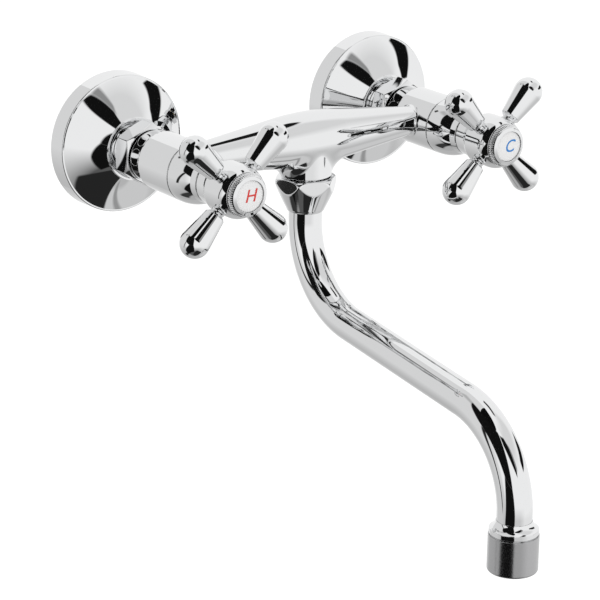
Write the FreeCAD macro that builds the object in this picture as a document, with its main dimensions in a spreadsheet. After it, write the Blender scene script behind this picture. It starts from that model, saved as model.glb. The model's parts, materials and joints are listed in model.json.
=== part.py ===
import FreeCAD, Part
import math
import os
import Sketcher

# A wall-mounted mixer with two cross handles and a bent swivel spout, in millimetres.
# The origin lies on the wall plane, midway between the two wall stubs. X runs from the hot side to the
# cold side, Y into the wall and Z up. "Out" is a distance from the wall, along -Y.

SIZES = {
    # where the two valves stand
    "inlet_centres": 150.0,
    "union_offset": 7.5,
    # wall escutcheon
    "escutcheon_radius": 33.5,
    "escutcheon_draft": 0.4,
    "escutcheon_rim": 9.6,
    "escutcheon_depth": 21.5,
    "escutcheon_edge": 1.0,
    "escutcheon_wall": 1.8,
    "flare_bend": 60.0,
    "lip_radius": 15.2,
    "lip_length": 1.2,
    "lip_width": 1.4,
    "neck_length": 7.0,
    # wall union
    "stub_radius": 10.48,
    "stub_length": 16.0,
    "union_bore": 7.0,
    "union_step": 8.0,
    "tail_radius": 11.45,
    "tail_bore": 7.8,
    # union nut and what it clamps
    "nut_gap": 3.1,
    "nut_flats": 26.6,
    "nut_length": 10.0,
    "nut_inset": 0.3,
    "nut_slope": 1.9,
    "nut_flange": 2.0,
    "hot_nut_turn": 4.0,
    "cold_nut_turn": 9.0,
    "washer_length": 2.0,
    "collar_length": 2.5,
    "collar_radius": 11.2,
    "shank_radius": 8.2,
    "shank_depth": 6.7,
    "inlet_bore": 6.0,
    # valve barrel
    "barrel_gap": 1.0,
    "barrel_behind": 18.8,
    "barrel_ahead": 14.6,
    "barrel_radius": 14.0,
    "barrel_shoulder": 12.3,
    "shoulder_length": 9.4,
    "shoulder_bend": 32.0,
    "chamber_radius": 9.6,
    "seat_setback": 4.4,
    "chamber_length": 10.0,
    "barrel_thread": 11.2,
    # cross member and outlet boss
    "cross_rise": 1.4,
    "cross_half": 18.0,
    "cross_radius": 12.15,
    "cross_crown": 151.0,
    "cross_end": 6.5,
    "cross_passage": 3.5,
    "cross_fillet": 1.2,
    "boss_radius": 12.3,
    "boss_depth": 16.0,
    "boss_fillet": 4.5,
    "nipple_radius": 10.3,
    "nipple_length": 6.9,
    "outlet_throat": 6.0,
    # valve inside each barrel
    "seal_outer": 9.2,
    "seal_inner": 5.5,
    "seal_length": 1.9,
    "ceramic_radius": 8.2,
    "ceramic_length": 2.5,
    "port_inner": 1.6,
    "port_outer": 6.0,
    "port_half_width": 3.0,
    "driver_length": 3.1,
    "thrust_length": 0.8,
    "sleeve_wall": 1.0,
    "window_width": 7.0,
    "window_length": 4.0,
    "headwork_collar": 3.5,
    "collar_inset": 2.2,
    "headwork_neck": 9.0,
    "headwork_nose": 7.0,
    "nose_length": 2.0,
    "neck_reach": 7.5,
    "spindle_radius": 5.5,
    "ring_section": 0.62,
    "ring_spacing": 3.0,
    "circlip_length": 1.0,
    "circlip_radius": 7.2,
    "circlip_groove": 0.9,
    "spindle_head": 4.0,
    # bonnet
    "seam_gap": 0.3,
    "bonnet_dome": 13.7,
    "bonnet_collar": 3.5,
    "bonnet_shoulder": 10.75,
    "bonnet_mouth": 10.2,
    "bonnet_bend": 30.0,
    "bonnet_wall": 1.7,
    "bonnet_flange": 3.5,
    # handle hub
    "handle_gap": 0.6,
    "hub_back": 10.3,
    "hub_neck": 10.8,
    "hub_neck_length": 6.4,
    "hub_flare_length": 3.0,
    "hub_radius": 12.4,
    "hub_length": 9.0,
    "hub_nose": 10.4,
    "hub_nose_length": 5.8,
    "hub_nose_bend": 9.4,
    "hub_recess": 6.4,
    "hub_recess_depth": 12.3,
    "hub_web": 1.8,
    "hub_counterbore": 7.6,
    "hub_counterbore_depth": 1.9,
    "spigot_radius": 8.0,
    "spigot_length": 1.6,
    # handle arms
    "arm_count": 4,
    "arm_station": 5.8,
    "arm_reach": 30.0,
    "arm_tip": 7.0,
    "arm_root": 4.8,
    "arm_edge": 0.8,
    "arm_collar": 3.3,
    "arm_collar_length": 2.3,
    "arm_seat": 0.7,
    "stud_radius": 2.5,
    "stud_length": 4.0,
    # handle screw
    "screw_radius": 2.0,
    "screw_head": 3.5,
    "screw_head_length": 3.0,
    "screw_length": 11.0,
    # index ring and disc
    "index_radius": 10.2,
    "index_neck": 9.5,
    "index_neck_length": 0.4,
    "index_band": 0.6,
    "index_bend": 4.0,
    "index_shoulder": 9.0,
    "index_shoulder_length": 2.1,
    "index_slope": 0.6,
    "index_opening": 7.35,
    "knurl_count": 60,
    "knurl_depth": 0.4,
    "knurl_width": 0.3,
    "disc_radius": 7.2,
    "disc_flange": 7.9,
    "disc_flange_length": 0.9,
    "disc_recess": 0.7,
    "disc_rise": 0.5,
    # spout nut
    "spout_nut_gap": 0.5,
    "spout_nut_radius": 15.3,
    "spout_nut_flats": 27.0,
    "spout_nut_turn": 11.4,
    "spout_nut_edge": 2.8,
    "spout_nut_band": 3.0,
    "spout_nut_cone": 13.1,
    "spout_nut_waist": 9.3,
    "spout_nut_bend": 160.0,
    "spout_nut_tail": 1.3,
    "spout_nut_tail_bend": 2.0,
    "spout_nut_mouth": 8.4,
    # what joins the spout to the outlet
    "slip_length": 1.0,
    "fitting_collar": 2.0,
    "fitting_collar_radius": 9.9,
    "fitting_spigot": 7.6,
    "fitting_spigot_length": 10.9,
    "fitting_bore": 5.4,
    "fitting_sleeve_length": 5.0,
    "packing_section": 0.8,
    "packing_spacing": 4.0,
    # spout tube
    "tube_radius": 8.1,
    "tube_wall": 1.0,
    "spout_drop": 38.3,
    "spout_bend": 43.2,
    "spout_fall": 7.4,
    "spout_reach": 160.3,
    "spout_end_drop": 142.0,
    # end fitting and aerator
    "flare_length": 3.9,
    "flare_cover": 4.4,
    "end_radius": 11.3,
    "end_flare_bend": 4.5,
    "end_band": 2.2,
    "groove_radius": 10.7,
    "groove_length": 0.6,
    "end_thread": 10.3,
    "end_thread_length": 5.6,
    "end_bore": 7.0,
    "aerator_radius": 11.6,
    "aerator_length": 17.6,
    "aerator_edge": 1.2,
    "aerator_mouth": 9.2,
    "aerator_ledge": 4.1,
    "gasket_length": 1.4,
    "gasket_inner": 7.8,
    "insert_wall": 1.2,
    "insert_floor": 1.6,
    "insert_hole": 1.3,
    "insert_hole_circle": 5.4,
    "insert_hole_count": 8,
    "screen_length": 0.6,
    "screen_hole": 0.9,
    "screen_inner_circle": 3.0,
    "screen_outer_circle": 6.2,
    # clearances
    "thread_gap": 0.1,
    "running_gap": 0.05,
    "seat_gap": 0.3,
    "overcut": 1.0,
}

FULL_TURN = 360.0
HALF_TURN = 180.0
QUARTER_TURN = 90.0


class Size:
    """A length or angle: its value now, and the expression that keeps it tied to the sheet."""

    def __init__(self, value, text):
        self.value = value
        self.text = text

    def __add__(self, other):
        other = sized(other)
        return Size(self.value + other.value, f"({self.text} + {other.text})")

    def __radd__(self, other):
        return sized(other) + self

    def __sub__(self, other):
        other = sized(other)
        return Size(self.value - other.value, f"({self.text} - {other.text})")

    def __rsub__(self, other):
        return sized(other) - self

    def __mul__(self, other):
        other = sized(other)
        return Size(self.value * other.value, f"({self.text} * {other.text})")

    def __rmul__(self, other):
        return sized(other) * self

    def __truediv__(self, other):
        other = sized(other)
        return Size(self.value / other.value, f"({self.text} / {other.text})")

    def __neg__(self):
        return 0 - self


def sized(thing):
    """A plain number as a Size; a Size as it is."""
    return thing if isinstance(thing, Size) else Size(float(thing), repr(float(thing)))


class Sheet:
    """Gives every driving size by its name: sizes.tube_radius, and so on."""

    def __init__(self, document):
        self.table = document.addObject("Spreadsheet::Sheet", "Sizes")
        for row, (alias, value) in enumerate(SIZES.items(), start=1):
            self.table.set(f"A{row}", alias)
            self.table.set(f"B{row}", str(value))
            self.table.setAlias(f"B{row}", alias)
        document.recompute()

    def __getattr__(self, alias):
        return Size(float(SIZES[alias]), f"Sizes.{alias}")


document = FreeCAD.newDocument("TwoHandleFaucet")
sizes = Sheet(document)


class Stations:
    """Distances out from the wall along a valve, each the sum of the lengths behind it."""

    nut_back = sizes.escutcheon_depth + sizes.nut_gap
    nut_front = nut_back + sizes.nut_length
    nipple_front = nut_front - sizes.nut_flange
    nipple_back = nipple_front - sizes.collar_length
    tail_end = nipple_back - sizes.washer_length
    barrel_back = nut_front + sizes.barrel_gap
    swivel = barrel_back + sizes.barrel_behind
    barrel_front = swivel + sizes.barrel_ahead
    shank_end = barrel_back + sizes.shank_depth
    seat = swivel - sizes.seat_setback
    thread_back = seat + sizes.chamber_length
    fixed_disc = seat + sizes.seal_length
    turning_disc = fixed_disc + sizes.ceramic_length + sizes.running_gap
    driver = turning_disc + sizes.ceramic_length
    driver_front = driver + sizes.driver_length
    thrust = driver_front + sizes.running_gap
    sleeve_end = thrust + sizes.thrust_length
    headwork_step = barrel_front + sizes.headwork_collar
    headwork_nose = headwork_step + sizes.neck_reach
    headwork_front = headwork_nose + sizes.nose_length
    circlip = headwork_front + sizes.running_gap
    circlip_front = circlip + sizes.circlip_length
    bonnet_back = barrel_front + sizes.seam_gap
    bonnet_shoulder = bonnet_back + sizes.bonnet_dome
    bonnet_front = bonnet_shoulder + sizes.bonnet_collar
    hub_back = bonnet_front + sizes.handle_gap
    hub_floor = hub_back + sizes.hub_counterbore_depth
    hub_flare = hub_back + sizes.hub_neck_length
    hub_barrel = hub_flare + sizes.hub_flare_length
    arms = hub_barrel + sizes.arm_station
    hub_shoulder = hub_barrel + sizes.hub_length
    hub_front = hub_shoulder + sizes.hub_nose_length
    recess_floor = hub_front - sizes.hub_recess_depth
    spindle_end = recess_floor - sizes.hub_web
    spigot_front = hub_front + sizes.spigot_length
    disc_shoulder = spigot_front + sizes.disc_flange_length
    knurl_back = hub_front + sizes.index_neck_length
    knurl_bend = knurl_back + sizes.index_band
    index_shoulder = knurl_bend + sizes.index_shoulder_length
    index_front = index_shoulder + sizes.index_slope


class Drops:
    """Distances down from the valve axes along the swivel axis and the outlet."""

    boss_end = sizes.boss_depth
    nipple_end = boss_end + sizes.nipple_length
    nut_top = boss_end + sizes.spout_nut_gap
    collar_top = nipple_end + sizes.running_gap
    collar_bottom = collar_top + sizes.fitting_collar
    slip_bottom = collar_bottom + sizes.slip_length
    nut_cone = nut_top + sizes.spout_nut_band
    nut_waist = nut_cone + sizes.spout_nut_cone
    nut_bottom = nut_waist + sizes.spout_nut_tail
    spigot_top = collar_top - sizes.fitting_spigot_length
    throat_end = spigot_top - sizes.seat_gap
    sleeve_end = collar_bottom + sizes.fitting_sleeve_length
    tube_end = sizes.spout_end_drop
    flare_top = tube_end - sizes.flare_cover
    flare_bottom = flare_top + sizes.flare_length
    band_bottom = flare_bottom + sizes.end_band
    aerator_top = band_bottom + sizes.groove_length
    thread_end = band_bottom + sizes.end_thread_length
    gasket_end = thread_end + sizes.gasket_length
    aerator_bottom = aerator_top + sizes.aerator_length
    ledge = aerator_bottom - sizes.aerator_ledge
    screen_top = ledge - sizes.screen_length


out = Stations
down = Drops

SIDES = {"hot": -1, "cold": 1}


class Frame:
    """Where a piece stands: a point whose coordinates are tied to the sheet, and a turn about one axis."""

    def __init__(self, across, along, up, axis, angle):
        self.base = (sized(across), sized(along), sized(up))
        self.axis = FreeCAD.Vector(*axis)
        self.angle = angle

    def hold(self, thing):
        base = FreeCAD.Vector(*(part.value for part in self.base))
        thing.Placement = FreeCAD.Placement(base, FreeCAD.Rotation(self.axis, self.angle))
        for letter, part in zip("xyz", self.base):
            thing.setExpression(f".Placement.Base.{letter}", part.text)


def valve_frame(side):
    """Local Z points out of the wall along the valve axis, X to the cold side and Y up."""
    across = sizes.inlet_centres * (SIDES[side] / 2)
    return Frame(across, 0, sizes.union_offset, (1, 0, 0), QUARTER_TURN)


def arm_frame(side, number):
    """Local Z points from the valve axis along one arm of the cross."""
    across = sizes.inlet_centres * (SIDES[side] / 2)
    step = FULL_TURN / SIZES["arm_count"]
    angle = QUARTER_TURN - step * (number - 0.5)
    return Frame(across, -out.arms, sizes.union_offset, (0, 1, 0), angle)


def swivel_frame():
    """Local Z points down the swivel axis from the height of the valves, and Y out of the wall."""
    return Frame(0, -out.swivel, sizes.union_offset, (1, 0, 0), HALF_TURN)


def outlet_frame():
    """Local Z points down through the aerator, from the height of the valves."""
    return Frame(0, -(out.swivel + sizes.spout_reach), sizes.union_offset, (1, 0, 0), HALF_TURN)


def bend(radius, side):
    """An arc to the next corner of an outline: side is 1 where it bulges left of the way there, else -1."""
    return (radius, side)


class Drawing:
    """A sketch on one of its body's own planes, every point of it tied to the sheet."""

    def __init__(self, body, plane, offset=(0, 0, 0), turn=None, turn_axis=(0, 0, 1)):
        self.sketch = body.newObject("Sketcher::SketchObject", "Sketch")
        support = [face for face in body.Origin.OriginFeatures if face.Role == plane][0]
        self.sketch.AttachmentSupport = [(support, "")]
        self.sketch.MapMode = "FlatFace"
        turn = sized(0 if turn is None else turn)
        base = FreeCAD.Vector(*(sized(part).value for part in offset))
        rotation = FreeCAD.Rotation(FreeCAD.Vector(*turn_axis), turn.value)
        self.sketch.AttachmentOffset = FreeCAD.Placement(base, rotation)
        for letter, part in zip("xyz", offset):
            if isinstance(part, Size):
                self.sketch.setExpression(f".AttachmentOffset.Base.{letter}", part.text)
        if turn.text.startswith(("Sizes", "(")):
            self.sketch.setExpression(".AttachmentOffset.Rotation.Angle", turn.text)

    def tie(self, kind, *where, size):
        """A dimension that follows the sheet."""
        size = sized(size)
        value = math.radians(size.value) if kind == "Angle" else size.value
        index = self.sketch.addConstraint(Sketcher.Constraint(kind, *where, value))
        name = f"{kind}_{index}"
        self.sketch.renameConstraint(index, name)
        self.sketch.setExpression(f".Constraints.{name}", size.text)

    def rule(self, kind, *where):
        """A relation with no size of its own."""
        self.sketch.addConstraint(Sketcher.Constraint(kind, *where))

    def fix(self, element, point, across, along):
        """Holds a point at a distance across and along from the sketch's origin."""
        for kind, size, axis in (("DistanceX", across, -2), ("DistanceY", along, -1)):
            if isinstance(size, Size):
                self.tie(kind, -1, 1, element, point, size=size)
            elif size == 0:
                self.rule("PointOnObject", element, point, axis)
            else:
                self.tie(kind, -1, 1, element, point, size=size)

    def line(self, start, end):
        first, last = (FreeCAD.Vector(*(sized(part).value for part in spot), 0) for spot in (start, end))
        return self.sketch.addGeometry(Part.LineSegment(first, last))

    def arc(self, start, end, radius, side):
        """An arc under a half circle; gives its number and its points at the start and at the end."""
        (x1, y1), (x2, y2) = ((sized(spot[0]).value, sized(spot[1]).value) for spot in (start, end))
        chord = math.hypot(x2 - x1, y2 - y1)
        inward = math.sqrt(sized(radius).value ** 2 - (chord / 2) ** 2) / chord
        centre_x = (x1 + x2) / 2 + side * inward * (y2 - y1)
        centre_y = (y1 + y2) / 2 - side * inward * (x2 - x1)
        centre = FreeCAD.Vector(centre_x, centre_y, 0)
        circle = Part.Circle(centre, FreeCAD.Vector(0, 0, 1), sized(radius).value)
        ends = [math.atan2(y - centre_y, x - centre_x) for x, y in ((x1, y1), (x2, y2))]
        if side > 0:
            ends.reverse()
        number = self.sketch.addGeometry(Part.ArcOfCircle(circle, *ends))
        self.tie("Radius", number, size=radius)
        return (number, 2, 1) if side > 0 else (number, 1, 2)

    def outline(self, *corners):
        """A closed outline. A corner is (across, along), or (across, along, bend) before an arc."""
        elements = []
        for corner, following in zip(corners, corners[1:] + corners[:1]):
            if len(corner) == 3:
                elements.append(self.arc(corner, following, *corner[2]))
            else:
                elements.append((self.line(corner, following[:2]), 1, 2))
        for (number, start, end), (following, first, last) in zip(elements, elements[1:] + elements[:1]):
            self.rule("Coincident", number, end, following, first)
        for (number, start, end), corner in zip(elements, corners):
            self.fix(number, start, corner[0], corner[1])
        return self.sketch

    def circle(self, radius, across=0, along=0):
        centre = FreeCAD.Vector(sized(across).value, sized(along).value, 0)
        number = self.sketch.addGeometry(Part.Circle(centre, FreeCAD.Vector(0, 0, 1), sized(radius).value))
        self.tie("Radius", number, size=radius)
        if across == 0 and along == 0:
            self.rule("Coincident", number, 3, -1, 1)
        else:
            self.fix(number, 3, across, along)
        return self.sketch

    def hexagon(self, across_flats):
        """Six equal sides about the origin, the first one square to the sketch's X axis."""
        reach = across_flats / 2 / math.cos(math.pi / 6)
        spots = [math.pi / 6 * (2 * number - 1) for number in range(6)]
        spots = [(reach.value * math.cos(spot), reach.value * math.sin(spot)) for spot in spots]
        sides = [self.line(spot, following) for spot, following in zip(spots, spots[1:] + spots[:1])]
        ring = self.sketch.addGeometry(
            Part.Circle(FreeCAD.Vector(0, 0, 0), FreeCAD.Vector(0, 0, 1), reach.value), True)
        self.tie("Radius", ring, size=reach)
        self.rule("Coincident", ring, 3, -1, 1)
        for side, following in zip(sides, sides[1:] + sides[:1]):
            self.rule("Coincident", side, 2, following, 1)
            self.rule("PointOnObject", side, 1, ring)
        for side in sides[1:]:
            self.rule("Equal", sides[0], side)
        self.rule("Vertical", sides[0])
        return self.sketch


class Piece:
    """One separate solid of the faucet, built up feature by feature."""

    def __init__(self, label, frame):
        self.body = document.addObject("PartDesign::Body", label)
        self.body.Label = label
        frame.hold(self.body)

    def draw(self, plane="XZ_Plane", **where):
        return Drawing(self.body, plane, **where)

    def feature(self, kind, sketch, **settings):
        made = self.body.newObject(f"PartDesign::{kind}", kind)
        made.Profile = sketch
        for name, value in settings.items():
            setattr(made, name, value)
        return made

    def turn(self, *corners, axis="V_Axis", kind="Revolution", **where):
        """A turned shape: its half outline is (radius, distance along the axis) for the V axis."""
        sketch = self.draw(**where).outline(*corners)
        return self.feature(kind, sketch, ReferenceAxis=(sketch, [axis]), Angle=FULL_TURN)

    def bore(self, *corners, **where):
        """The same, taken away."""
        return self.turn(*corners, kind="Groove", **where)

    def extrude(self, sketch, length, kind="Pad", **settings):
        made = self.feature(kind, sketch, **settings)
        made.setExpression("Length", length.text)
        return made

    def through(self, sketch, **settings):
        """A cut right through the piece, both ways."""
        return self.feature("Pocket", sketch, Type="ThroughAll", SideType="Symmetric", **settings)

    def around(self, feature, count):
        """Copies of a feature, evenly spaced about the body's Z axis."""
        axis = [line for line in self.body.Origin.OriginFeatures if line.Role == "Z_Axis"][0]
        pattern = self.body.newObject("PartDesign::PolarPattern", "Pattern")
        pattern.Originals = [feature]
        pattern.Axis = (axis, [""])
        pattern.Angle = FULL_TURN
        pattern.setExpression("Occurrences", count.text)
        self.body.Tip = pattern

    def round(self, radius, belongs):
        """Rounds the edges of which every sampled point belongs."""
        document.recompute()
        base = self.body.Tip
        names = []
        for number, edge in enumerate(base.Shape.Edges, start=1):
            points = edge.discretize(Number=9)
            if all(belongs(point) for point in points):
                names.append(f"Edge{number}")
        if not names:
            raise RuntimeError(f"{self.body.Label}: no edge to round")
        fillet = self.body.newObject("PartDesign::Fillet", "Fillet")
        fillet.Base = (base, names)
        fillet.setExpression("Radius", radius.text)


# ---------------------------------------------------------------- wall side

def make_escutcheon(side):
    """Bell-shaped cover, hollow at the back, screwed on the tail of the wall union by its neck."""
    piece = Piece(f"{side}_escutcheon", valve_frame(side))
    rim_radius = sizes.escutcheon_radius - sizes.escutcheon_draft
    lip_back = sizes.escutcheon_depth - sizes.lip_length
    inner_radius = rim_radius - sizes.escutcheon_edge - sizes.escutcheon_wall
    neck_bore = sizes.tail_radius + sizes.thread_gap
    neck_back = sizes.escutcheon_depth - sizes.neck_length
    recess = sizes.escutcheon_depth - sizes.lip_length
    piece.turn(
        (sizes.escutcheon_radius, 0),
        (rim_radius, sizes.escutcheon_rim - sizes.escutcheon_edge, bend(sizes.escutcheon_edge, -1)),
        (rim_radius - sizes.escutcheon_edge, sizes.escutcheon_rim, bend(sizes.flare_bend, 1)),
        (sizes.lip_radius, lip_back),
        (sizes.lip_radius, sizes.escutcheon_depth),
        (sizes.lip_radius - sizes.lip_width, sizes.escutcheon_depth),
        (sizes.lip_radius - sizes.lip_width, recess),
        (neck_bore, recess),
        (neck_bore, neck_back),
        (neck_bore + sizes.escutcheon_wall, neck_back),
        (neck_bore + sizes.escutcheon_wall, lip_back - sizes.escutcheon_wall, bend(sizes.flare_bend, -1)),
        (inner_radius, sizes.escutcheon_rim - sizes.escutcheon_wall),
        (sizes.escutcheon_radius - sizes.escutcheon_wall, 0),
    )


def make_wall_union(side):
    """Eccentric connector: pipe thread in the wall below, nut thread above, oblique between."""
    piece = Piece(f"{side}_wall_union", valve_frame(side))
    below = (0, -sizes.union_offset, 0)
    above = (0, 0, sizes.union_step)
    for kind, lower, upper in (
        ("AdditiveLoft", sizes.stub_radius, sizes.tail_radius),
        ("SubtractiveLoft", sizes.union_bore, sizes.tail_bore),
    ):
        start = piece.draw("XY_Plane", offset=below).circle(lower)
        end = piece.draw("XY_Plane", offset=above).circle(upper)
        piece.feature(kind, start, Sections=[(end, [""])])
        if kind == "AdditiveLoft":
            stub = piece.draw("XY_Plane", offset=below).circle(sizes.stub_radius)
            piece.extrude(stub, sizes.stub_length, Reversed=True)
            tail = piece.draw("XY_Plane", offset=above).circle(sizes.tail_radius)
            piece.extrude(tail, out.tail_end - sizes.union_step)
    stub_hole = piece.draw("XY_Plane", offset=below).circle(sizes.union_bore)
    piece.extrude(stub_hole, sizes.stub_length + sizes.overcut, kind="Pocket")
    tail_hole = piece.draw("XY_Plane", offset=above).circle(sizes.tail_bore)
    piece.extrude(tail_hole, out.tail_end, kind="Pocket", Reversed=True)


def make_union_nut(side):
    """Hexagon nut with both ends chamfered; its front flange holds the nipple's collar."""
    piece = Piece(f"{side}_union_nut", valve_frame(side))
    turn = -getattr(sizes, f"{side}_nut_turn")
    hexagon = piece.draw("XY_Plane", offset=(0, 0, out.nut_back), turn=turn).hexagon(sizes.nut_flats)
    piece.extrude(hexagon, sizes.nut_length)
    flat = sizes.nut_flats / 2 - sizes.nut_inset
    beyond = sizes.nut_flats / 2 + sizes.nut_slope * 2
    for end, inward in ((out.nut_back, 1), (out.nut_front, -1)):
        piece.bore((flat, end), (beyond, end), (beyond, end + sizes.nut_slope * inward))
    piece.bore(
        (0, out.nut_back - sizes.overcut),
        (sizes.tail_radius + sizes.thread_gap, out.nut_back - sizes.overcut),
        (sizes.tail_radius + sizes.thread_gap, out.nipple_front),
        (sizes.shank_radius + sizes.seat_gap, out.nipple_front),
        (sizes.shank_radius + sizes.seat_gap, out.nut_front + sizes.overcut),
        (0, out.nut_front + sizes.overcut),
    )


def make_union_washer(side):
    """Flat fibre washer between the union's tail and the nipple."""
    piece = Piece(f"{side}_union_washer", valve_frame(side))
    piece.turn(
        (sizes.inlet_bore, out.tail_end),
        (sizes.collar_radius, out.tail_end),
        (sizes.collar_radius, out.nipple_back),
        (sizes.inlet_bore, out.nipple_back),
    )


def make_inlet_nipple(side):
    """Collared nipple screwed into the back of the barrel, inside the union nut."""
    piece = Piece(f"{side}_inlet_nipple", valve_frame(side))
    piece.turn(
        (sizes.inlet_bore, out.nipple_back),
        (sizes.collar_radius, out.nipple_back),
        (sizes.collar_radius, out.nipple_front),
        (sizes.shank_radius, out.nipple_front),
        (sizes.shank_radius, out.shank_end),
        (sizes.inlet_bore, out.shank_end),
    )


# ---------------------------------------------------------------- body casting

def make_body():
    """One casting: two barrels, the swollen cross member between them and the outlet boss below it."""
    piece = Piece("body", swivel_frame())
    half = sizes.inlet_centres / 2
    end = half - sizes.chamber_radius
    level = (0, -sizes.cross_rise, 0)
    piece.turn(
        (-end, 0),
        (-end, sizes.cross_end),
        (-sizes.cross_half, sizes.cross_radius, bend(sizes.cross_crown, 1)),
        (sizes.cross_half, sizes.cross_radius),
        (end, sizes.cross_end),
        (end, 0),
        axis="H_Axis", offset=level,
    )
    barrels = [dict(plane="XY_Plane", offset=(half * hand, -out.swivel, 0)) for hand in SIDES.values()]
    for barrel in barrels:
        piece.turn(
            (0, out.barrel_back),
            (sizes.barrel_shoulder, out.barrel_back, bend(sizes.shoulder_bend, 1)),
            (sizes.barrel_radius, out.barrel_back + sizes.shoulder_length),
            (sizes.barrel_radius, out.barrel_front),
            (0, out.barrel_front),
            **barrel,
        )
    piece.round(sizes.cross_fillet, is_barrel_root)
    piece.turn((0, 0), (sizes.boss_radius, 0), (sizes.boss_radius, down.boss_end), (0, down.boss_end))
    piece.round(sizes.boss_fillet, is_boss_root)
    piece.turn(
        (0, 0), (sizes.nipple_radius, 0), (sizes.nipple_radius, down.nipple_end), (0, down.nipple_end))
    for barrel in barrels:
        piece.bore(*barrel_passage(), **barrel)
    piece.bore((-half, 0), (-half, sizes.cross_passage), (half, sizes.cross_passage), (half, 0),
               axis="H_Axis", offset=level)
    outlet = sizes.fitting_spigot + sizes.running_gap
    piece.bore(
        (0, 0),
        (sizes.outlet_throat, 0),
        (sizes.outlet_throat, down.throat_end),
        (outlet, down.throat_end),
        (outlet, down.nipple_end + sizes.overcut),
        (0, down.nipple_end + sizes.overcut),
    )


def is_barrel_root(point):
    """Whether a point lies where the cross member grows out of a barrel."""
    half = SIZES["inlet_centres"] / 2
    reach = math.hypot(abs(point.x) - half, point.z)
    return abs(reach - SIZES["barrel_radius"]) < 0.01 and abs(point.x) < half - 1 and abs(point.y) < 12


def is_boss_root(point):
    """Whether a point lies where the boss grows out of the cross member."""
    reach = math.hypot(point.x, point.y)
    return abs(reach - SIZES["boss_radius"]) < 0.01 and 1 < point.z < SIZES["boss_depth"] - 0.5


def barrel_passage():
    """Half outline of what is bored out of a barrel, from its back to its front."""
    return (
        (0, out.barrel_back - sizes.overcut),
        (sizes.shank_radius + sizes.thread_gap, out.barrel_back - sizes.overcut),
        (sizes.shank_radius + sizes.thread_gap, out.shank_end + sizes.seat_gap),
        (sizes.inlet_bore, out.shank_end + sizes.seat_gap),
        (sizes.inlet_bore, out.seat),
        (sizes.chamber_radius, out.seat),
        (sizes.chamber_radius, out.thread_back),
        (sizes.barrel_thread, out.thread_back),
        (sizes.barrel_thread, out.barrel_front + sizes.overcut),
        (0, out.barrel_front + sizes.overcut),
    )


# ---------------------------------------------------------------- valve inside each barrel

def make_headwork(side):
    """Brass carrier of the valve: sleeve round the discs, thread, collar on the barrel's end and a neck."""
    piece = Piece(f"{side}_headwork", valve_frame(side))
    sleeve_inner = sizes.ceramic_radius + sizes.thread_gap
    sleeve_outer = sleeve_inner + sizes.sleeve_wall
    collar = sizes.barrel_radius - sizes.collar_inset
    thread = sizes.barrel_thread - sizes.thread_gap
    piece.turn(
        (sleeve_inner, out.fixed_disc),
        (sleeve_outer, out.fixed_disc),
        (sleeve_outer, out.thread_back),
        (thread, out.thread_back),
        (thread, out.barrel_front),
        (collar, out.barrel_front),
        (collar, out.headwork_step),
        (sizes.headwork_neck, out.headwork_step),
        (sizes.headwork_neck, out.headwork_nose),
        (sizes.headwork_nose, out.headwork_nose),
        (sizes.headwork_nose, out.headwork_front),
        (sizes.spindle_radius + sizes.running_gap, out.headwork_front),
        (sizes.spindle_radius + sizes.running_gap, out.sleeve_end),
        (sleeve_inner, out.sleeve_end),
    )
    window = piece.draw("YZ_Plane").outline(
        (-sizes.window_width / 2, out.driver - sizes.window_length),
        (sizes.window_width / 2, out.driver - sizes.window_length),
        (sizes.window_width / 2, out.driver),
        (-sizes.window_width / 2, out.driver),
    )
    piece.through(window)


def make_seat_seal(side):
    """Rubber ring that presses the fixed disc forward and seals it on the chamber's floor."""
    piece = Piece(f"{side}_seat_seal", valve_frame(side))
    piece.turn(
        (sizes.seal_inner, out.seat),
        (sizes.seal_outer, out.seat),
        (sizes.seal_outer, out.fixed_disc),
        (sizes.seal_inner, out.fixed_disc),
    )


def make_ceramic_disc(side, name, back, radius):
    """Ceramic disc with two opposite ports; a quarter turn between two of them opens the water."""
    piece = Piece(f"{side}_{name}", valve_frame(side))
    piece.extrude(piece.draw("XY_Plane", offset=(0, 0, back)).circle(radius), sizes.ceramic_length)
    upright = name == "fixed_disc"
    near = (sizes.port_half_width / 3, sizes.port_inner)
    far = (sizes.port_half_width, sizes.port_outer)
    spots = ((-near[0], near[1]), near, far + (bend(sizes.ceramic_radius, -1),), (-far[0], far[1]))
    if not upright:
        spots = tuple((spot[1], -spot[0]) + spot[2:] for spot in spots)
    port = piece.draw("XY_Plane", offset=(0, 0, back)).outline(*spots)
    piece.around(piece.through(port), Size(2, "2"))


def make_thrust_washer(side):
    """Slip washer between the spindle's driver and the inner shoulder of the headwork."""
    piece = Piece(f"{side}_thrust_washer", valve_frame(side))
    piece.turn(
        (sizes.spindle_radius + sizes.seat_gap, out.thrust),
        (sizes.ceramic_radius - sizes.seat_gap, out.thrust),
        (sizes.ceramic_radius - sizes.seat_gap, out.sleeve_end),
        (sizes.spindle_radius + sizes.seat_gap, out.sleeve_end),
    )


def o_ring_stations():
    """Where the two O-rings lie along the spindle."""
    first = out.sleeve_end + sizes.ring_spacing / 2
    return first, first + sizes.ring_spacing


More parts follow.
